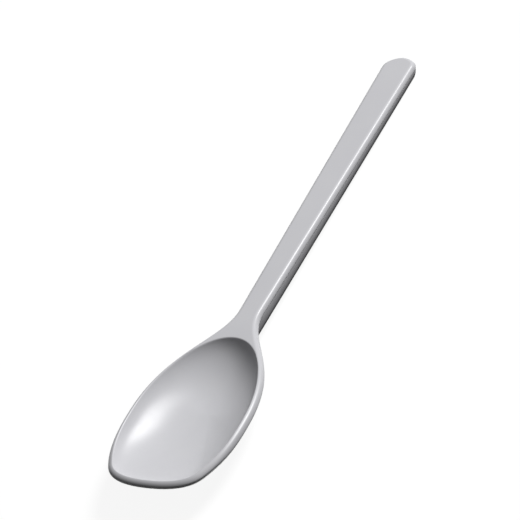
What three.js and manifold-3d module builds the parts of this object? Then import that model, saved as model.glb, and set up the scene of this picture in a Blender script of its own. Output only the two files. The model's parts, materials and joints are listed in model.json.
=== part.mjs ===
// Mixing spoon in two mouldings: the spoon itself, and the trough that closes the back of its handle.
// Millimetres. It is drawn level, with the rim and the handle face at z = 0, the tip of the bowl at x = 0
// and the handle along +X, and is then laid down on its bowl and handle end, as it lies on a table.
import * as THREE from "three";
import { mergeVertices } from "three/addons/utils/BufferGeometryUtils.js";
import Module from "manifold-3d";

// Plan, measured from the tip
const spoonLength = 295;
const bowlWidth = 61.5;
const bowlLength = 93; // to the back of the bowl, under the neck
const bowlWidestAt = 42;
const tipWidth = 49; // across the front corners
const tipCornerLength = 9; // along the axis, from the tip to the end of the front corners
const tipSideAngle = THREE.MathUtils.degToRad(28); // how fast the sides widen behind the corners
const neckAt = 109.5; // end of the flare, where the straight handle begins
const neckWidth = 12.4;
const handleEndWidth = 18.5;
const handleEndCrown = 3.6; // rise of the arc that ends the handle
const handleEndCorner = 4.8;

// Spoon moulding
const bandHeight = 2.75; // thickness of the handle face and height of the rim's side
const edgeRadius = 2.4; // upper edge, all the way round
const edgeBreak = 0.3; // lower edge of the band
const rimWidth = 2.3;
const bowlDepth = 13;
const bowlWall = 3;
const deepestAt = 53; // along the axis, from the tip
const rimLedge = 0.4; // the outside of the bowl starts this far in from the band

// Trough on the back of the handle
const backDepthNeck = 8.45; // below the seam, at the neck
const backDepthEnd = 4.45; // below the seam, at the handle end
const backDraft = THREE.MathUtils.degToRad(18);
const backEdgeRadius = 1.8;
const backWall = 1.8;
const backFloor = 1.4;
const backInset = 0.2; // side of the trough, in from the side of the handle
const tongueWall = 1.2; // rib under the handle face that sits in the mouth of the trough

// Clearances
const seamGap = 0.3; // all round between the two mouldings
const tongueGap = 0.3; // tongue to trough

const tongueHeight = backDepthEnd - backFloor - tongueGap;

// Fullness of the plan's curves: reach of a curve's handles as a share of the stretch they span
const tipFlatness = 0.66;
const cornerFullness = 0.6;
const sideFullness = 0.36;
const shoulderFullness = 0.55;
const flareFullness = 0.29;
const turnShare = 0.25; // part of the shoulder that the rim follows before it turns in across the neck
const turnFullness = 0.62;
const backFullness = 0.36;
const crownFlatness = 0.75; // share of the end's rise that its flat arc takes, the corners have the rest

// Section of the bowl: share of the depth at a share of the way out to the edge
const dishRoundness = 2.1;
const dishSteepness = 0.91;

// Fineness of the facets
const curveSteps = 10;
const turnSteps = 5;
const edgeSteps = 4;
const dishRings = 11;
const dishFlat = 0.07; // the innermost ring, which closes the bottom of a dish
const weld = 1e-4; // points closer than this are one
const settleSteps = 12;

const wasm = await Module();
wasm.setup();

// The bowl's front and side, from the middle of the tip to the widest place
function bowlSide() {
  const corner = new THREE.Vector2(tipCornerLength, tipWidth / 2);
  const leave = new THREE.Vector2(Math.cos(tipSideAngle), Math.sin(tipSideAngle));
  const widest = new THREE.Vector2(bowlWidestAt, bowlWidth / 2);
  const reach = sideFullness * (bowlWidestAt - tipCornerLength);
  const tip = new THREE.CubicBezierCurve(
    new THREE.Vector2(0, 0),
    new THREE.Vector2(0, tipFlatness * corner.y),
    corner.clone().addScaledVector(leave, -cornerFullness * tipCornerLength),
    corner,
  );
  const side = new THREE.CubicBezierCurve(
    corner,
    corner.clone().addScaledVector(leave, reach),
    new THREE.Vector2(widest.x - reach, widest.y),
    widest,
  );
  return [tip, side];
}

// Half the width of the handle, which widens evenly from the neck to the end
function handleHalfWidth(x) {
  const spread = (handleEndWidth - neckWidth) / (spoonLength - neckAt);
  return (neckWidth + spread * (x - neckAt)) / 2;
}

// From the widest place of the bowl to the straight handle
function shoulder() {
  const span = neckAt - bowlWidestAt;
  const flare = neckAt - flareFullness * span;
  return new THREE.CubicBezierCurve(
    new THREE.Vector2(bowlWidestAt, bowlWidth / 2),
    new THREE.Vector2(bowlWidestAt + shoulderFullness * span, bowlWidth / 2),
    new THREE.Vector2(flare, handleHalfWidth(flare)),
    new THREE.Vector2(neckAt, handleHalfWidth(neckAt)),
  );
}

// A measure at a place along the spoon, where it may be the same all along
function at(measure, x) {
  return typeof measure === "function" ? measure(x) : measure;
}

// The straight side of the handle from a given place, its round corner and half of the arc at its end,
// all moved in by a distance
function handleSide(from, moved = 0) {
  const halfWidth = (x) => handleHalfWidth(x) - at(moved, x);
  const length = spoonLength - at(moved, spoonLength);
  const radius = Math.max(handleEndCorner - at(moved, spoonLength), edgeBreak);
  const cornerAt = length - handleEndCrown - radius;
  const start = new THREE.Vector2(from, halfWidth(from));
  const side = new THREE.Vector2(cornerAt, halfWidth(cornerAt));
  const arcHalf = side.y - radius / 2;
  const arcStart = new THREE.Vector2(length - crownFlatness * handleEndCrown, arcHalf);
  const arcBend = new THREE.Vector2(length, arcHalf / 2);
  const end = new THREE.Vector2(length, 0);
  const slope = (arcBend.x - arcStart.x) / (arcStart.y - arcBend.y);
  const outer = halfWidth(arcStart.x);
  const corner = new THREE.Vector2(arcStart.x - slope * (outer - arcHalf), outer);
  return [
    new THREE.LineCurve(start, side),
    new THREE.QuadraticBezierCurve(side, corner, arcStart),
    new THREE.QuadraticBezierCurve(arcStart, arcBend, end),
  ];
}

// Points along curves that follow one another, each shared point once
function pointsOf(curves) {
  const points = [];
  for (const curve of curves) {
    const steps = curve.isLineCurve ? 1 : curveSteps;
    points.push(...curve.getPoints(steps).slice(points.length ? 1 : 0));
  }
  return points;
}

// A closed outline, counterclockwise, from the half of it on the +Y side that runs towards +X
function mirrored(half) {
  const right = half.map((p) => new THREE.Vector2(p.x, -p.y));
  const left = half.filter((p) => p.y > 0).reverse();
  return [...right, ...left];
}

const spoonPlan = mirrored(pointsOf([...bowlSide(), shoulder(), ...handleSide(neckAt)]));

// Edge of the bowl: it follows the spoon's outline, then turns in across the neck
function bowlPlan() {
  const bend = shoulder();
  const followed = Array.from({ length: turnSteps }, (_, i) =>
    bend.getPoint((turnShare * (i + 1)) / turnSteps),
  );
  const leave = bend.getPoint(turnShare);
  const reach = turnFullness * (bowlLength - leave.x);
  const turn = new THREE.CubicBezierCurve(
    leave,
    leave.clone().addScaledVector(bend.getTangent(turnShare), reach),
    new THREE.Vector2(bowlLength, (backFullness * bowlWidth) / 2),
    new THREE.Vector2(bowlLength, 0),
  );
  return mirrored([...pointsOf(bowlSide()), ...followed, ...turn.getPoints(curveSteps).slice(1)]);
}

// An outline moved inwards by a distance, or outwards where it is negative
function inset(plan, distance) {
  return plan.map((p, i) => {
    const before = plan[(i + plan.length - 1) % plan.length];
    const after = plan[(i + 1) % plan.length];
    const along = after.clone().sub(before).normalize();
    return new THREE.Vector2(p.x - along.y * distance, p.y + along.x * distance);
  });
}

// A plan at a height
function level(plan, height) {
  return plan.map((p) => new THREE.Vector3(p.x, p.y, at(height, p.x)));
}

// A closed solid through rings with as many points each, from the lowest to the highest
function loft(rings) {
  const count = rings[0].length;
  const geometry = new THREE.BufferGeometry().setFromPoints(rings.flat());
  const index = [];
  for (let r = 0; r + 1 < rings.length; r += 1) {
    for (let i = 0; i < count; i += 1) {
      const a = r * count + i;
      const b = r * count + ((i + 1) % count);
      index.push(a, b, b + count, a, b + count, a + count);
    }
  }
  const cap = (ring) => THREE.ShapeUtils.triangulateShape(ring.map((p) => new THREE.Vector2(p.x, p.y)), []);
  const last = (rings.length - 1) * count;
  for (const [a, b, c] of cap(rings[0])) {
    index.push(a, c, b);
  }
  for (const [a, b, c] of cap(rings[rings.length - 1])) {
    index.push(last + a, last + b, last + c);
  }
  geometry.setIndex(index);
  return solidOf(geometry);
}

function solidOf(geometry) {
  const merged = mergeVertices(geometry, weld);
  return new wasm.Manifold(
    new wasm.Mesh({
      numProp: 3,
      vertProperties: new Float32Array(merged.attributes.position.array),
      triVerts: new Uint32Array(merged.index.array),
    }),
  );
}

function geometryOf(solid) {
  const mesh = solid.getMesh();
  const geometry = new THREE.BufferGeometry();
  geometry.setAttribute("position", new THREE.BufferAttribute(mesh.vertProperties, 3));
  geometry.setIndex(new THREE.BufferAttribute(mesh.triVerts, 1));
  geometry.computeVertexNormals();
  return geometry;
}

// A dish: rings of a plan drawn in towards the deepest place, sinking from the edge to the full depth
function dish(plan, depth, edge, top) {
  const centre = new THREE.Vector2(deepestAt, 0);
  const rings = [];
  for (let i = 0; i <= dishRings; i += 1) {
    const share = Math.max(Math.cos((i / dishRings) * (Math.PI / 2)), dishFlat);
    const sink = depth * (1 - share ** dishRoundness) ** dishSteepness;
    const ring = plan.map((p) => p.clone().sub(centre).multiplyScalar(share).add(centre));
    rings.unshift(level(ring, edge - sink));
  }
  return loft([...rings, level(plan, top)]);
}

const bowlEdge = bowlPlan();

// Outside of the bowl, from inside the band down. A gap gives the room that the trough leaves round it.
function bowlOutside(gap) {
  const plan = inset(bowlEdge, rimLedge - gap);
  return dish(plan, bowlDepth + bowlWall - bandHeight + gap, -bandHeight, -bandHeight / 2);
}

// Inside of the bowl, open at the top
function bowlInside() {
  return dish(inset(bowlEdge, rimWidth), bowlDepth, 0, bandHeight);
}

// Handle face and rim as one flat band with a round upper edge
function band() {
  const rings = [
    level(inset(spoonPlan, edgeBreak), -bandHeight),
    level(spoonPlan, edgeBreak - bandHeight),
  ];
  for (let i = 0; i <= edgeSteps; i += 1) {
    const turn = (i / edgeSteps) * (Math.PI / 2);
    const ring = inset(spoonPlan, edgeRadius * (1 - Math.cos(turn)));
    rings.push(level(ring, edgeRadius * (Math.sin(turn) - 1)));
  }
  return loft(rings);
}

// Plan of the trough, moved in by a distance: the straight handle, carried on until it is inside the bowl
function troughPlan(moved) {
  const start = (deepestAt + bowlLength) / 2;
  return mirrored(pointsOf(handleSide(start, moved)));
}

const seamAt = -bandHeight - seamGap;

// Bottom of the trough, which rises evenly towards the handle end
function backDepth(x) {
  const fall = (backDepthNeck - backDepthEnd) / (spoonLength - neckAt);
  return backDepthEnd + fall * (spoonLength - x);
}

// Outside of the trough: drafted sides and a round lower edge
function troughOutside() {
  const rings = [];
  for (let i = 0; i <= edgeSteps; i += 1) {
    const turn = (i / edgeSteps) * (Math.PI / 2);
    const lift = backEdgeRadius * (1 - Math.cos(turn));
    const round = backEdgeRadius * (1 - Math.sin(turn));
    const side = (x) => backInset + Math.tan(backDraft) * (backDepth(x) - lift) + round;
    rings.push(level(troughPlan(side), (x) => seamAt - backDepth(x) + lift));
  }
  rings.push(level(troughPlan(backInset), seamAt));
  return loft(rings);
}

// Hollow of the trough, open at the seam
function troughInside() {
  const mouth = backInset + backWall;
  const foot = (x) => mouth + Math.tan(backDraft) * (backDepth(x) - backFloor);
  return loft([
    level(troughPlan(foot), (x) => seamAt - backDepth(x) + backFloor),
    level(troughPlan(mouth), seamAt),
    level(troughPlan(mouth), seamAt + seamGap),
  ]);
}

// Rib under the handle face, just inside the mouth of the trough and clear of its nose
function tongue() {
  const side = backInset + backWall + tongueGap;
  const draft = Math.tan(backDraft) * (seamGap + tongueHeight);
  const wall = (start, low, high) =>
    loft([level(troughPlan(start + draft), low), level(troughPlan(start), high)]);
  const foot = seamAt - tongueHeight;
  const root = -bandHeight + edgeBreak;
  return wall(side, foot, root)
    .subtract(wall(side + tongueWall, foot - seamGap, root + seamGap))
    .subtract(bowlOutside(seamGap + backWall + tongueGap));
}

function spoonBody() {
  return band().add(bowlOutside(0)).add(tongue()).subtract(bowlInside());
}

function handleBack() {
  const hollow = troughInside().subtract(bowlOutside(seamGap + backWall));
  return troughOutside().subtract(bowlOutside(seamGap)).subtract(hollow);
}

function piece(name, solid) {
  const material = new THREE.MeshStandardMaterial({ color: 0xc5c5c8, roughness: 0.35, metalness: 0 });
  const mesh = new THREE.Mesh(geometryOf(solid), material);
  mesh.name = name;
  return mesh;
}

const spoon = new THREE.Group();
spoon.add(piece("spoon_body", spoonBody()), piece("handle_back", handleBack()));

// Lowest corner of a stretch of the spoon when it is tipped by an angle
function lowest(angle, from, to) {
  let found = new THREE.Vector3(0, 0, Infinity);
  let height = Infinity;
  for (const mesh of spoon.children) {
    const corners = mesh.geometry.attributes.position;
    for (let i = 0; i < corners.count; i += 1) {
      const corner = new THREE.Vector3().fromBufferAttribute(corners, i);
      const here = corner.z * Math.cos(angle) - corner.x * Math.sin(angle);
      if (corner.x >= from && corner.x <= to && here < height) {
        height = here;
        found = corner;
      }
    }
  }
  return found;
}

// The angle at which the bottom of the bowl and the handle end are level
let lean = 0;
for (let i = 0; i < settleSteps; i += 1) {
  const bowl = lowest(lean, 0, bowlLength);
  const end = lowest(lean, neckAt, spoonLength);
  lean = Math.atan2(end.z - bowl.z, end.x - bowl.x);
}
spoon.rotation.y = lean;
spoon.updateMatrixWorld(true);
const box = new THREE.Box3().setFromObject(spoon, true);
spoon.position.set(-(box.min.x + box.max.x) / 2, 0, -box.min.z);

const mixingSpoon = new THREE.Group();
mixingSpoon.add(spoon);
export default mixingSpoon;
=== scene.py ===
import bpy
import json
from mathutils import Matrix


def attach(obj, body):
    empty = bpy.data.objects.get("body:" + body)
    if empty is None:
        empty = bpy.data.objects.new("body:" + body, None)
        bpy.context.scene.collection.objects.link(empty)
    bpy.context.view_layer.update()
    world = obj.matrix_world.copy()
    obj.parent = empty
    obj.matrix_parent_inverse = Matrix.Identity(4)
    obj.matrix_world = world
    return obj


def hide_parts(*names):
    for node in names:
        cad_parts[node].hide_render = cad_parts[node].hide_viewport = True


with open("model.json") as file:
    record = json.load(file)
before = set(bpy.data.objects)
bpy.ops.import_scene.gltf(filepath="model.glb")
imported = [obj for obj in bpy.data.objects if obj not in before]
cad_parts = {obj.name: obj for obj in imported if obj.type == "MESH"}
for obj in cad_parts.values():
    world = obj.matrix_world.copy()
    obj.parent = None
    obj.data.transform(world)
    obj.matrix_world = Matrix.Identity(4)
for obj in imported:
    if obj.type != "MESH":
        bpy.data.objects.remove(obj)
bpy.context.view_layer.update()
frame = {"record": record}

import json
import math

import bmesh
import bpy
from mathutils import Matrix, Quaternion, Vector

# A mixing spoon in two grey mouldings: the satin spoon, and the matt trough that closes its handle's back.
# Shapes are drawn in millimetres with the handle face at z = 0, the tip at x = 0 and the handle along +X,
# and are then laid down where the frame has the spoon.

mm = 0.001
creaseAngle = 32  # degrees, faces that meet more steeply keep a sharp edge

spoonPlan = {  # seen from above, distances from the tip
    "length": 295,
    "bowlWidth": 60.5,
    "bowlLength": 93,
    "widestAt": 42,
    "tipWidth": 47.7,  # across the front corners
    "tipCorner": 9,  # length of the front corners along the axis
    "tipSideAngle": 28,  # degrees, how fast the sides widen behind the corners
    "neckAt": 109.5,  # where the straight handle starts
    "neckWidth": 12.4,
    "endWidth": 18.5,
    "endCrown": 3.6,  # bulge of the handle's end
    "endCorner": 4.8,
    "leastCorner": 0.3,  # of the end, where the sides are moved in
    "faceMountAt": 200,  # the frame's handle_face point
    # how full each curve is
    "crownFlatness": 0.75,
    "tipFlatness": 0.66,
    "cornerFullness": 0.6,
    "sideFullness": 0.36,
    "shoulderFullness": 0.57,
    "flareFullness": 0.29,
    "turnShare": 0.25,  # of the shoulder, which the bowl's edge follows before it turns in
    "turnFullness": 0.62,
    "backFullness": 0.39,
    "curveSteps": 24,
    "shortSteps": 12,
    "straightSteps": 8,
}


# points of a Bezier curve, both ends included
def bezier(controls, steps):
    points = []
    for i in range(steps + 1):
        layer = [Vector(c) for c in controls]
        while len(layer) > 1:
            layer = [a.lerp(b, i / steps) for a, b in zip(layer, layer[1:])]
        points.append(layer[0])
    return points


def joined(*curves):
    points = list(curves[0])
    for curve in curves[1:]:
        points += curve[1:]
    return points


# closed outline, counterclockwise, from its half on the +Y side that runs towards +X
def mirrored(half):
    onAxis = 1e-6  # points this near the axis aren't doubled
    right = [Vector((p.x, -p.y)) for p in half]
    left = [p.copy() for p in reversed(half) if p.y > onAxis]
    return right + left


def handleHalfWidth(x):
    p = spoonPlan
    spread = (p["endWidth"] - p["neckWidth"]) / (p["length"] - p["neckAt"])
    return (p["neckWidth"] + spread * (x - p["neckAt"])) / 2


# front and side of the bowl, from the middle of the tip to the widest place
def bowlSide():
    p = spoonPlan
    corner = Vector((p["tipCorner"], p["tipWidth"] / 2))
    angle = math.radians(p["tipSideAngle"])
    leave = Vector((math.cos(angle), math.sin(angle)))
    arrive = corner - leave * p["cornerFullness"] * p["tipCorner"]
    tip = bezier([(0, 0), (0, p["tipFlatness"] * corner.y), arrive, corner], p["curveSteps"])
    reach = p["sideFullness"] * (p["widestAt"] - p["tipCorner"])
    widest = Vector((p["widestAt"], p["bowlWidth"] / 2))
    side = bezier([corner, corner + leave * reach, widest - Vector((reach, 0)), widest], p["curveSteps"])
    return joined(tip, side)


# controls of the curve from the widest place of the bowl to the straight handle
def shoulderControls():
    p = spoonPlan
    span = p["neckAt"] - p["widestAt"]
    flare = p["neckAt"] - p["flareFullness"] * span
    return [
        Vector((p["widestAt"], p["bowlWidth"] / 2)),
        Vector((p["widestAt"] + p["shoulderFullness"] * span, p["bowlWidth"] / 2)),
        Vector((flare, handleHalfWidth(flare))),
        Vector((p["neckAt"], handleHalfWidth(p["neckAt"]))),
    ]


# straight side of the handle, its corner and half of its end, moved in by a distance that may change along it
def handleSide(start, moved=lambda x: 0):
    p = spoonPlan

    def half(x):
        return handleHalfWidth(x) - moved(x)

    length = p["length"] - moved(p["length"])
    radius = max(p["endCorner"] - moved(p["length"]), p["leastCorner"])
    cornerAt = length - p["endCrown"] - radius
    side = Vector((cornerAt, half(cornerAt)))
    arcStart = Vector((length - p["crownFlatness"] * p["endCrown"], side.y - radius / 2))
    arcBend = Vector((length, arcStart.y / 2))
    slope = (arcBend.x - arcStart.x) / (arcStart.y - arcBend.y)
    outer = half(arcStart.x)
    corner = Vector((arcStart.x - slope * (outer - arcStart.y), outer))
    return joined(
        bezier([(start, half(start)), side], p["straightSteps"]),
        bezier([side, corner, arcStart], p["shortSteps"]),
        bezier([arcStart, arcBend, (length, 0)], p["shortSteps"]),
    )


# the shoulder in two parts: the bowl's edge follows the first and leaves the second
def shoulderParts():
    layers = [shoulderControls()]
    while len(layers[-1]) > 1:
        last = layers[-1]
        layers.append([a.lerp(b, spoonPlan["turnShare"]) for a, b in zip(last, last[1:])])
    return [layer[0] for layer in layers], [layer[-1] for layer in reversed(layers)]


# side of the spoon as far as the bowl's edge follows it
def sharedSide():
    return joined(bowlSide(), bezier(shoulderParts()[0], spoonPlan["shortSteps"]))


def outlinePlan():
    shoulder = bezier(shoulderParts()[1], spoonPlan["curveSteps"])
    return mirrored(joined(sharedSide(), shoulder, handleSide(spoonPlan["neckAt"])))


# edge of the bowl: the outline, until it turns in across the neck
def bowlPlan():
    p = spoonPlan
    leave, beyond = shoulderParts()[1][:2]
    tangent = (beyond - leave).normalized()
    bend = leave + tangent * p["turnFullness"] * (p["bowlLength"] - leave.x)
    back = Vector((p["bowlLength"], p["backFullness"] * p["bowlWidth"] / 2))
    turn = bezier([leave, bend, back, (p["bowlLength"], 0)], p["curveSteps"])
    return mirrored(joined(sharedSide(), turn))


# a plan moved in, by one distance or by one for each point
def inset(plan, distance):
    moves = distance if isinstance(distance, list) else [distance] * len(plan)
    moved = []
    for i, point in enumerate(plan):
        along = (plan[(i + 1) % len(plan)] - plan[i - 1]).normalized()
        moved.append(point + Vector((-along.y, along.x)) * moves[i])
    return moved


def level(plan, height):
    return [(p.x, p.y, height) for p in plan]


def addRow(bm, points):
    return [bm.verts.new(p) for p in points]


# faces between rows of as many points, which go round closed or end at both sides
def bridge(bm, rows, closed=True):
    for low, high in zip(rows, rows[1:]):
        for i in range(len(low) if closed else len(low) - 1):
            j = (i + 1) % len(low)
            bm.faces.new((low[i], low[j], high[j], high[i]))


def fan(bm, row, point):
    middle = bm.verts.new(point)
    for i, corner in enumerate(row):
        bm.faces.new((corner, row[(i + 1) % len(row)], middle))


# flat faces inside the first loop and outside the others
def fill(bm, *loops):
    edges = []
    for loop in loops:
        for i, a in enumerate(loop):
            b = loop[(i + 1) % len(loop)]
            edges.append(bm.edges.get((a, b)) or bm.edges.new((a, b)))
    bmesh.ops.triangle_fill(bm, edges=edges, use_beauty=True, normal=(0, 0, 1))


# the drawing's place in the frame, from the handle's flat face
def layDown():
    face = next(m for m in frame["record"]["mounts"] if m["name"] == "handle_face")
    axis = Vector(face["axis"])
    turn = Matrix.Rotation(math.atan2(axis.x, axis.z), 4, "Y")
    tip = Vector(face["pos_m"]) - turn @ Vector((spoonPlan["faceMountAt"] * mm, 0, 0))
    return Matrix.Translation(tip) @ turn @ Matrix.Scale(mm, 4)


def makePiece(name, bm, node, material):
    bmesh.ops.recalc_face_normals(bm, faces=bm.faces)
    openEdges = [e for e in bm.edges if len(e.link_faces) != 2]
    bm.transform(layDown())
    mesh = bpy.data.meshes.new(name)
    bm.to_mesh(mesh)
    bm.free()
    mesh.polygons.foreach_set("use_smooth", [True] * len(mesh.polygons))
    mesh.set_sharp_from_angle(angle=math.radians(creaseAngle))
    mesh.materials.append(material)
    piece = bpy.data.objects.new(name, mesh)
    bpy.context.scene.collection.objects.link(piece)
    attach(piece, "root")
    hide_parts(node)
    print(name, len(mesh.polygons), "faces,", len(openEdges), "open edges")


spoonBody = {
    "bandHeight": 2.75,  # handle face, down to the seam: the sum of its edge's arcs
    # the edge from crest to underside in arcs of tilt from, tilt to and radius: front lip, side lip, handle
    "edges": (
        ((14, 30, 3.6), (30, 50, 3.6), (50, 90, 1.15), (90, 135, 1.15)),
        ((20, 36, 3.55), (36, 68, 1.6), (68, 80, 5.2), (80, 128, 1.85)),
        ((0, 40, 2.45), (40, 70, 2.45), (70, 90, 2.45), (90, 180, 0.3)),
    ),
    "edgeSpans": ((8, 34), (66, 90)),  # one edge changes into the next between these places
    "arcSteps": 6,
    "rimDrop": 0.1,  # crest of the lip below the handle face
    "bowlDepth": 13,
    "bowlWall": 2.82,
    "deepestAt": 55,
    "roundness": (2.15, 0.2, 0.2),  # powers of the bowl's section: all round, towards the neck, at both ends
    "wallShare": 0.11,  # this much of the depth is a steep wall under the rim
    "wallWidth": 2,  # over which it fades
    "dishRings": 40,
    "innerReach": 0.8,  # the inner edge rolls over from the crest into the wall
    "innerFall": 0.55,
    "innerSteps": 10,
    "support": 0.05,  # narrow row that keeps the flat face flat in the shading
    "ribGap": 0.3,  # to the trough's wall
    "ribWall": 1.2,
    "ribHeight": 1.6,
    "ribLean": 0.5,
}


# how far one edge has changed into the next at a place
def edgeShare(x, span):
    start, stop = spoonBody["edgeSpans"][span]
    share = min(max((x - start) / (stop - start), 0), 1)
    return share ** 2 * (3 - 2 * share)


# points along a row of arcs from crest to underside: how far in from the outermost place, and how high
def arcSection(arcs):
    steps = spoonBody["arcSteps"]
    points = [(0, 0)]
    for start, stop, radius in arcs:
        x, z = points[-1]
        first = math.radians(start)
        for i in range(1, steps + 1):
            tilt = math.radians(start + (stop - start) * i / steps)
            across = radius * (math.sin(tilt) - math.sin(first))
            upward = radius * (math.cos(tilt) - math.cos(first))
            points.append((x + across, z + upward))
    width = max(x for x, z in points)
    return [(width - x, z) for x, z in points]


# a section part of the way from one to another
def between(a, b, share):
    return [(m + (n - m) * share, g + (h - g) * share) for (m, g), (n, h) in zip(a, b)]


# section of the lip at a place, and of the whole edge, which is the lip's until it changes into the handle's
def lipSection(x):
    front, side = [arcSection(arcs) for arcs in spoonBody["edges"][:2]]
    return [(move, height - spoonBody["rimDrop"]) for move, height in between(front, side, edgeShare(x, 0))]


def edgeSection(x):
    return between(lipSection(x), arcSection(spoonBody["edges"][2]), edgeShare(x, 1))


# inner edge of the lip along the bowl, and the bowl's outside under the lip
def crestPlan(edge):
    return inset(edge, [lipSection(p.x)[0][0] + spoonBody["support"] for p in edge])


def outsidePlan(edge, gap=0):
    return inset(edge, [lipSection(p.x)[-1][0] + spoonBody["support"] - gap for p in edge])


def outsideTop(x):
    return edgeSection(x)[-1][1] - spoonBody["support"] * (1 - edgeShare(x, 1))


# how deep a dish is at a share of the way out, in a direction from its deepest place
def dishSink(out, share, depth):
    b = spoonBody
    turn = math.atan2(out.y, out.x)
    around, neck, ends = b["roundness"]
    dish = share ** (around + neck * math.cos(turn) + ends * math.cos(2 * turn))
    wall = share ** (out.length / b["wallWidth"])
    return depth * (1 - dish + b["wallShare"] * (dish - wall))


# rows of a dish from its edge to its deepest place, which the last row leaves open
def dishRows(plan, bottom, top):
    centre = Vector((spoonBody["deepestAt"], 0))
    rows = []
    for i in range(spoonBody["dishRings"]):
        share = math.cos(i / spoonBody["dishRings"] * math.pi / 2)
        row = []
        for p in plan:
            out = p - centre
            place = centre + out * share
            row.append((place.x, place.y, top(p.x) - dishSink(out, share, top(p.x) - bottom)))
        rows.append(row)
    return rows


# the inner edge of the bowl rolls over from the crest into the wall, as a curve that touches both
def innerEdgeRows(crest, wall):
    b = spoonBody
    centre = Vector((b["deepestAt"], 0))
    frontTilt, sideTilt = [arcs[0][0] for arcs in b["edges"][:2]]
    low = -b["innerFall"]
    step = 1e-4  # share of the way in, on which the wall's slope is taken
    curves = []
    for p, q in zip(crest, wall):
        tilt = frontTilt + (sideTilt - frontTilt) * edgeShare(p.x, 0)
        rise = math.tan(math.radians(tilt)) * (1 - edgeShare(p.x, 1))
        top = edgeSection(p.x)[0][1] + rise * b["support"]
        out = q - centre
        slope = dishSink(out, 1 - step, b["bowlDepth"] + low) / (step * out.length)
        reach = (p - q).length
        bend = (slope * reach + low - top) / (slope + rise)  # where the lip's and the wall's tangents meet
        section = bezier([(0, top), (bend, top + rise * bend), (reach, low)], b["innerSteps"])
        curves.append([(*p.lerp(q, s.x / reach), s.y) for s in section])
    return [[curve[i] for curve in curves] for i in range(b["innerSteps"])]


# a row of the edge along the outline, from the place of each point in its section
def edgeRow(bm, outline, places, further=0):
    ring = inset(outline, [move + further for move, height in places])
    return addRow(bm, [(p.x, p.y, height) for p, (move, height) in zip(ring, places)])


# faces between the outline and the bowl's edge where they run side by side; gives the loop round the neck
def rimStrip(bm, outer, inner):
    last = len(sharedSide()) - 1
    bridge(bm, [outer[:last + 1], inner[:last + 1]], closed=False)
    bridge(bm, [outer[-last:] + outer[:1], inner[-last:] + inner[:1]], closed=False)
    return outer[last:1 - last] + inner[last:1 - last][::-1]


def makeSpoonBody(material):
    b = spoonBody
    bm = bmesh.new()
    outline = outlinePlan()
    edge = bowlPlan()

    # outside of the bowl
    bottom = -b["bowlDepth"] - b["bowlWall"]
    outside = [addRow(bm, row) for row in dishRows(outsidePlan(edge), bottom, outsideTop)]
    bridge(bm, outside)
    fan(bm, outside[-1], (b["deepestAt"], 0, bottom))

    # edge of the rim and the handle, from its crest down
    sections = list(zip(*[edgeSection(p.x) for p in outline]))
    band = [edgeRow(bm, outline, places) for places in sections]
    bridge(bm, band)

    # inside of the bowl
    crest = crestPlan(edge)
    wall = inset(crest, b["innerReach"])
    inside = [addRow(bm, row) for row in innerEdgeRows(crest, wall)]
    inside += [addRow(bm, row) for row in dishRows(wall, -b["bowlDepth"], lambda x: -b["innerFall"])]
    bridge(bm, inside)
    fan(bm, inside[-1], (b["deepestAt"], 0, -b["bowlDepth"]))

    # handle face, which runs on into the crest of the rim
    face = edgeRow(bm, outline, sections[0], b["support"] / 2)
    bridge(bm, [band[0], face])
    fill(bm, rimStrip(bm, face, inside[0]))

    # rib under the handle face, which sits in the mouth of the trough
    side = handleBack["inset"] + handleBack["wall"] + b["ribGap"]
    underside = -b["bandHeight"]
    tip = underside - b["ribHeight"]
    lean = b["ribLean"]
    rib = []
    for move, height in ((0, underside), (lean, tip), (lean + b["ribWall"], tip), (b["ribWall"], underside)):
        plan = mirrored(handleSide(handleBack["hollowStart"], lambda x: side + move))
        rib.append(addRow(bm, level(plan, height)))
    bridge(bm, rib)
    fill(bm, rimStrip(bm, band[-1], outside[0]), rib[0])
    fill(bm, rib[-1])
    makePiece("spoonBody", bm, "spoon_body", material)


handleBack = {
    "seam": 0.12,  # fine line between the two mouldings
    "seamEdge": 0.25,  # radius of the trough's upper edge
    "edgeSteps": 4,
    "depthNeck": 7.5,
    "depthEnd": 4.62,
    "tilts": (9, 33),  # degrees that the side leans in at the seam and at its foot
    "turnHeight": 4,  # the lower part of the side, which turns from the one to the other
    "footShare": 0.3,  # radius of the foot as a share of that height
    "sideSteps": 8,
    "footSteps": 6,
    "inset": 0.2,  # in from the side of the spoon
    "wall": 1.6,
    "floor": 1.4,
    "hollowStart": 97,
    "noseGap": 0.15,  # to the back of the bowl
    "noseSteps": 14,
    "noseReach": 1,  # behind the bowl's edge, as far as the nose may start
    "noseHalvings": 24,
    "support": 0.12,  # narrow row that keeps the seam's face and the bottom flat in the shading
}


# tilts in even steps from one angle in degrees to another, the first left out
def tiltSteps(start, stop, steps):
    first, last = math.radians(start), math.radians(stop)
    return [first + (last - first) * (i + 1) / steps for i in range(steps)]


# the trough's side is straight, then turns in a wide arc and a small one:
# how far in and how low it is at a tilt
def leanAt(tilt, depth):
    h = handleBack
    seamTilt, footTilt = [math.radians(t) for t in h["tilts"]]
    turn = min(h["turnHeight"], depth)
    foot = h["footShare"] * turn
    side = (turn - foot * (1 - math.sin(footTilt))) / (math.sin(footTilt) - math.sin(seamTilt))
    upper = min(tilt, footTilt)
    lower = max(tilt, footTilt)
    inward = side * (math.cos(seamTilt) - math.cos(upper)) + foot * (math.cos(footTilt) - math.cos(lower))
    down = side * (math.sin(upper) - math.sin(seamTilt)) + foot * (math.sin(lower) - math.sin(footTilt))
    return inward + (depth - turn) * math.tan(seamTilt), down + depth - turn


def troughDepth(x):
    h = handleBack
    fall = (h["depthNeck"] - h["depthEnd"]) / (spoonPlan["length"] - spoonPlan["neckAt"])
    return h["depthEnd"] + fall * (spoonPlan["length"] - x)


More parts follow.
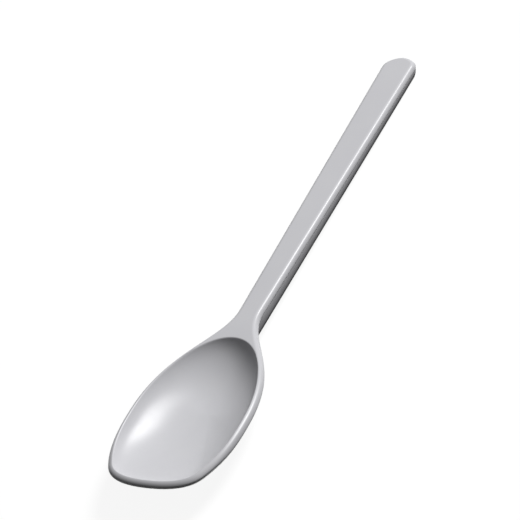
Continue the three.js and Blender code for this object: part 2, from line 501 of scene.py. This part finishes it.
def seamHeight():
    return -spoonBody["bandHeight"] - handleBack["seam"]


# rows of the trough's side, from the seam down to its flat bottom: how far in, and how high
def troughLevels():
    h = handleBack
    seamAt = seamHeight()
    bottomTilt = 90

    def edge(turn):
        return (
            lambda x: h["inset"] + h["seamEdge"] * (1 - math.sin(turn)),
            lambda x: seamAt - h["seamEdge"] * (1 - math.cos(turn)),
        )

    def down(tilt):
        return (
            lambda x: h["inset"] + leanAt(tilt, troughDepth(x))[0],
            lambda x: seamAt - leanAt(tilt, troughDepth(x))[1],
        )

    levels = [(lambda x: h["inset"] + h["seamEdge"] + h["support"], lambda x: seamAt)]
    levels += [edge(i / h["edgeSteps"] * math.pi / 2) for i in range(h["edgeSteps"] + 1)]
    levels += [down(tilt) for tilt in tiltSteps(*h["tilts"], h["sideSteps"])]
    levels += [down(tilt) for tilt in tiltSteps(h["tilts"][1], bottomTilt, h["footSteps"])]
    lastIn, lastHeight = levels[-1]
    levels.append((lambda x: lastIn(x) + h["support"], lastHeight))
    return levels


# where a line under the handle runs into the back of the bowl, found by halving
def noseAt(plan, sideways, height):
    b = spoonBody
    h = handleBack
    centre = Vector((b["deepestAt"], 0))

    def bowlHeight(x, y):
        out = Vector((x, y)) - centre
        for p, q in zip(plan, plan[1:] + plan[:1]):
            before = out.cross(p - centre)
            after = out.cross(q - centre)
            if before <= 0 < after and out.dot(p - centre) > 0:
                edge = p.lerp(q, before / (before - after)) - centre
                break
        top = outsideTop(edge.x + centre.x)
        depth = top + b["bowlDepth"] + b["bowlWall"] + h["noseGap"]
        return top - dishSink(edge, out.length / edge.length, depth)

    low = (b["deepestAt"] + spoonPlan["bowlLength"]) / 2
    high = spoonPlan["bowlLength"] + h["noseReach"]
    for _ in range(h["noseHalvings"]):
        x = (low + high) / 2
        if height(x) > bowlHeight(x, sideways(x)):
            low = x
        else:
            high = x
    return low


def makeHandleBack(material):
    h = handleBack
    bm = bmesh.new()
    bowlBack = outsidePlan(bowlPlan(), h["noseGap"])
    shares = [2 * j / h["noseSteps"] - 1 for j in range(h["noseSteps"] + 1)]  # across, from side to side
    walls = []
    noses = []
    for moved, height in troughLevels():

        def across(share):
            return lambda x: share * (handleHalfWidth(x) - moved(x))

        starts = [noseAt(bowlBack, across(share), height) for share in shares]
        nose = [bm.verts.new((x, across(share)(x), height(x))) for x, share in zip(starts, shares)]
        half = handleSide(starts[-1], moved)[1:]
        right = [bm.verts.new((p.x, -p.y, height(p.x))) for p in half]
        left = [bm.verts.new((p.x, p.y, height(p.x))) for p in reversed(half[:-1])]
        walls.append([nose[0], *right, *left, nose[-1]])
        noses.append(nose)
    bridge(bm, walls, closed=False)
    bridge(bm, noses, closed=False)
    mouthLoop, bottomLoop = [walls[i] + noses[i][-2:0:-1] for i in (0, -1)]
    fill(bm, bottomLoop)

    # hollow inside
    seamAt = seamHeight()
    mouth = h["inset"] + h["wall"]
    hollow = [addRow(bm, level(mirrored(handleSide(h["hollowStart"], lambda x: mouth)), seamAt))]
    for tilt in tiltSteps(*h["tilts"], h["sideSteps"]):

        def lean(x):
            return leanAt(tilt, troughDepth(x) - h["floor"])

        plan = mirrored(handleSide(h["hollowStart"], lambda x: mouth + lean(x)[0]))
        hollow.append(addRow(bm, [(p.x, p.y, seamAt - lean(p.x)[1]) for p in plan]))
    bridge(bm, hollow)
    fill(bm, hollow[-1])
    fill(bm, mouthLoop, hollow[0])
    makePiece("handleBack", bm, "handle_back", material)


def linear(hexColour):
    channels = [int(hexColour[i:i + 2], 16) / 255 for i in (1, 3, 5)]
    return (*[c / 12.92 if c <= 0.04045 else ((c + 0.055) / 1.055) ** 2.4 for c in channels], 1)


# pattern scale for features of a size in millimetres, on coordinates in metres
def perMetre(size):
    return 1 / (size * mm)


# adds a node; a socket's value may be a number, a colour or another node's output
def addNode(tree, kind, settings, sockets):
    node = tree.nodes.new(kind)
    for name, value in settings.items():
        setattr(node, name, value)
    for name, value in sockets.items():
        if isinstance(value, bpy.types.NodeSocket):
            tree.links.new(value, node.inputs[name])
        else:
            node.inputs[name].default_value = value
    return node


# Melamine pressed in a polished mould: dense pale grey with a satin skin, so edges carry a clean bright line
# and wide faces a soft one. The skin is faintly wavy, with the finest hairlines from use.
# Sizes and heights are millimetres.
melamine = {
    "grey": "#c7c7ca",
    "cloud": "#c2c2c6",
    "cloudSize": 16,
    "ior": 1.5,  # of a hard plastic
    "specular": 0.22,
    "roughness": (0.28, 0.32),
    "smearSize": 7,
    "smearSpan": (0.3, 0.7),  # noise values at the least and the most roughness
    "waveSize": 9,
    "waveHeight": 0.008,
    "grainSize": 0.6,
    "grainHeight": 0.0008,
    "scratchLength": 22,
    "scratchWidth": 0.45,  # real ones are finer, this is the finest that shows
    "scratchTurn": 0.35,  # radians
    "scratchSpan": (0.66, 0.72),  # noise values at no scratch and a full one
    "scratchHeight": 0.001,
}

# the same, as it comes from an unpolished mould half: matt, so no white edge where it turns away
melamineBack = {
    **melamine,
    "specular": 0,
    "roughness": (0.5, 0.6),
    "grainHeight": 0.0016,
}


def makeMelamine(name, m):
    material = bpy.data.materials.new(name)
    material.use_nodes = True
    tree = material.node_tree
    tree.nodes.clear()
    place = addNode(tree, "ShaderNodeTexCoord", {}, {}).outputs["Object"]

    # colour and roughness; sockets 0, 6 and 7 of a colour mix are its factor and its two colours
    cloud = addNode(tree, "ShaderNodeTexNoise", {}, {
        "Vector": place, "Scale": perMetre(m["cloudSize"]), "Detail": 3})
    colour = addNode(tree, "ShaderNodeMix", {"data_type": "RGBA"}, {
        0: cloud.outputs["Fac"], 6: linear(m["cloud"]), 7: linear(m["grey"])})
    smear = addNode(tree, "ShaderNodeTexNoise", {}, {
        "Vector": place, "Scale": perMetre(m["smearSize"]), "Detail": 4, "Roughness": 0.6})
    roughness = addNode(tree, "ShaderNodeMapRange", {}, {
        "Value": smear.outputs["Fac"],
        "From Min": m["smearSpan"][0], "From Max": m["smearSpan"][1],
        "To Min": m["roughness"][0], "To Max": m["roughness"][1]})

    # relief: waves, grain and scratches
    wave = addNode(tree, "ShaderNodeTexNoise", {}, {
        "Vector": place, "Scale": perMetre(m["waveSize"]), "Detail": 0})
    grain = addNode(tree, "ShaderNodeTexNoise", {}, {
        "Vector": place, "Scale": perMetre(m["grainSize"]), "Detail": 1})
    stretch = addNode(tree, "ShaderNodeMapping", {}, {
        "Vector": place, "Rotation": (0, 0, m["scratchTurn"]),
        "Scale": [perMetre(s) for s in (m["scratchLength"], m["scratchWidth"], m["scratchLength"])]})
    streak = addNode(tree, "ShaderNodeTexNoise", {}, {
        "Vector": stretch.outputs["Vector"], "Scale": 1, "Detail": 1})
    scratch = addNode(tree, "ShaderNodeMapRange", {}, {
        "Value": streak.outputs["Fac"],
        "From Min": m["scratchSpan"][0], "From Max": m["scratchSpan"][1], "To Min": 0, "To Max": -1})
    waved = addNode(tree, "ShaderNodeBump", {}, {
        "Height": wave.outputs["Fac"], "Distance": m["waveHeight"] * mm})
    grained = addNode(tree, "ShaderNodeBump", {}, {
        "Height": grain.outputs["Fac"], "Distance": m["grainHeight"] * mm, "Normal": waved.outputs["Normal"]})
    scratched = addNode(tree, "ShaderNodeBump", {}, {
        "Height": scratch.outputs["Result"], "Distance": m["scratchHeight"] * mm,
        "Normal": grained.outputs["Normal"]})

    shader = addNode(tree, "ShaderNodeBsdfPrincipled", {}, {
        "Base Color": colour.outputs[2], "Roughness": roughness.outputs["Result"],
        "IOR": m["ior"], "Specular IOR Level": m["specular"], "Normal": scratched.outputs["Normal"]})
    addNode(tree, "ShaderNodeOutputMaterial", {}, {"Surface": shader.outputs["BSDF"]})
    print("material:", name)
    return material


studio = {
    "floorSize": 60,  # metres, to the horizon in low views
    "floorDrop": 0.05,  # millimetres below the spoon
    "floorColour": "#5c5c5c",
    "floorGlow": 0.91,  # lifts the floor to white where it is seen
    "floorBounce": "#202020",  # what lights the spoon from below, so its underside stays dark
    "keyFrom": (0.615, -0.345, 0.709),
    "keyDistance": 4,
    "keySize": 1.4,
    "keyLight": 3.95,  # watts per square metre on the spoon
    "skyTop": 0.24,  # strength overhead and at the horizon
    "skySide": 0.02,
}


def makeStudio():
    s = studio
    bpy.context.scene.view_settings.view_transform = "Standard"
    mesh = bpy.data.meshes.new("floor")
    half = s["floorSize"] / 2
    drop = -s["floorDrop"] * mm
    corners = [(-half, -half, drop), (half, -half, drop), (half, half, drop), (-half, half, drop)]
    mesh.from_pydata(corners, [], [(0, 1, 2, 3)])
    floor = bpy.data.objects.new("floor", mesh)
    bpy.context.scene.collection.objects.link(floor)

    # matt paper: it keeps the soft shadow, and is lifted to white where the eye or a reflection sees it
    paper = bpy.data.materials.new("matt white paper sweep")
    paper.use_nodes = True
    paper.cycles.emission_sampling = "NONE"
    tree = paper.node_tree
    tree.nodes.clear()
    path = addNode(tree, "ShaderNodeLightPath", {}, {})
    seen = addNode(tree, "ShaderNodeMath", {"operation": "MAXIMUM"}, {
        0: path.outputs["Is Camera Ray"], 1: path.outputs["Is Glossy Ray"]})
    seen = addNode(tree, "ShaderNodeMath", {"operation": "MAXIMUM"}, {
        0: seen.outputs[0], 1: path.outputs["Is Transmission Ray"]})
    white = addNode(tree, "ShaderNodeEmission", {}, {"Strength": s["floorGlow"]})
    matt = addNode(tree, "ShaderNodeBsdfDiffuse", {}, {"Color": linear(s["floorColour"])})
    lifted = addNode(tree, "ShaderNodeAddShader", {}, {0: white.outputs[0], 1: matt.outputs[0]})
    dim = addNode(tree, "ShaderNodeBsdfDiffuse", {}, {"Color": linear(s["floorBounce"])})
    both = addNode(tree, "ShaderNodeMixShader", {}, {
        0: seen.outputs[0], 1: dim.outputs[0], 2: lifted.outputs[0]})
    addNode(tree, "ShaderNodeOutputMaterial", {}, {"Surface": both.outputs[0]})
    mesh.materials.append(paper)

    # one soft lamp from beyond the handle, and a dim overhead sky
    lamp = bpy.data.lights.new("key", "AREA")
    lamp.shape = "DISK"
    lamp.size = s["keySize"]
    lamp.energy = s["keyLight"] * math.pi * s["keyDistance"] ** 2
    key = bpy.data.objects.new("key", lamp)
    away = Vector(s["keyFrom"]).normalized()
    key.location = away * s["keyDistance"]
    key.rotation_euler = away.to_track_quat("Z", "Y").to_euler()
    bpy.context.scene.collection.objects.link(key)

    world = bpy.data.worlds.new("overhead sky")
    world.use_nodes = True
    tree = world.node_tree
    tree.nodes.clear()
    direction = addNode(tree, "ShaderNodeTexCoord", {}, {}).outputs["Generated"]
    split = addNode(tree, "ShaderNodeSeparateXYZ", {}, {"Vector": direction})
    upward = addNode(tree, "ShaderNodeMath", {"operation": "MAXIMUM"}, {0: split.outputs["Z"], 1: 0})
    square = addNode(tree, "ShaderNodeMath", {"operation": "POWER"}, {0: upward.outputs[0], 1: 2})
    sky = addNode(tree, "ShaderNodeMapRange", {}, {
        "Value": square.outputs[0], "From Min": 0, "From Max": 1,
        "To Min": s["skySide"], "To Max": s["skyTop"]})
    background = addNode(tree, "ShaderNodeBackground", {}, {"Strength": sky.outputs["Result"]})
    addNode(tree, "ShaderNodeOutputWorld", {}, {"Surface": background.outputs["Background"]})
    bpy.context.scene.world = world
    print("studio: floor, key lamp, sky")


view = {
    "eye": (-709.5, -573.2, 722.5),  # millimetres in the frame
    "aim": (-0.71, 14.10, 7.93),
    "roll": -23.73,  # degrees
    "lens": 174.6,
    "sensor": 36,
}


def makeCamera():
    data = bpy.data.cameras.new("camera")
    data.sensor_width = view["sensor"]
    data.lens = view["lens"]
    camera = bpy.data.objects.new("camera", data)
    eye = Vector(view["eye"]) * mm
    look = (Vector(view["aim"]) * mm - eye).to_track_quat("-Z", "Y")
    camera.location = eye
    camera.rotation_mode = "QUATERNION"
    camera.rotation_quaternion = look @ Quaternion((0, 0, 1), math.radians(view["roll"]))
    bpy.context.scene.collection.objects.link(camera)
    bpy.context.scene.camera = camera
    print("camera:", data.lens, "mm")


makeCamera()
makeStudio()
makeSpoonBody(makeMelamine("pressed melamine, satin grey", melamine))
makeHandleBack(makeMelamine("pressed melamine, matt grey", melamineBack))
